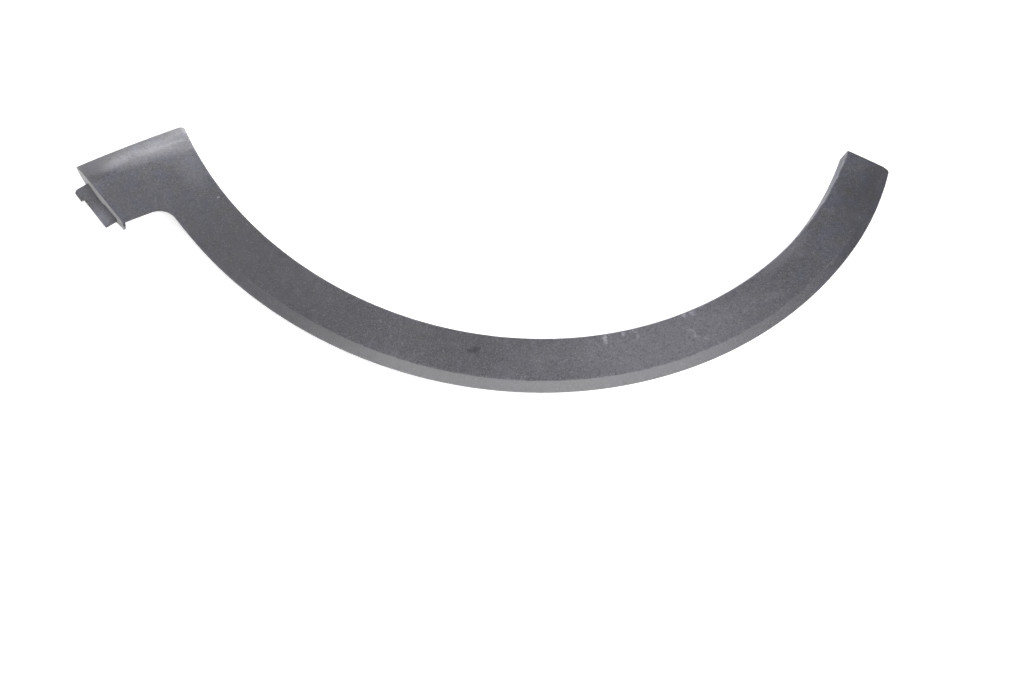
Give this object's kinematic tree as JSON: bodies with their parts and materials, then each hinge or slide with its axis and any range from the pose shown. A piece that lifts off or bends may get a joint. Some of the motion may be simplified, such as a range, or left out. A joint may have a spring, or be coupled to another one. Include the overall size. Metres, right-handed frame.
{
  "type": "wheel arch trim",
  "caption": "Arched trim for a car's wheel opening: a grained face band with a bevelled outer lip, an inner flange and a wide foot with a hooked tab, held by clips from behind.",
  "frame": {"origin": "middle of the bounding box in plan, on the plane that the part rests on", "axes": "+X from the foot to the narrow end, -Y to the crown of the arch, +Z out of the face"},
  "size_m": [0.8278, 0.2908, 0.0219],
  "materials": {
    "grained_plastic": "fine grain, weathered"
  },
  "bodies": {
    "root": {"arch_trim": "grained_plastic"}
  },
  "joints": []
}
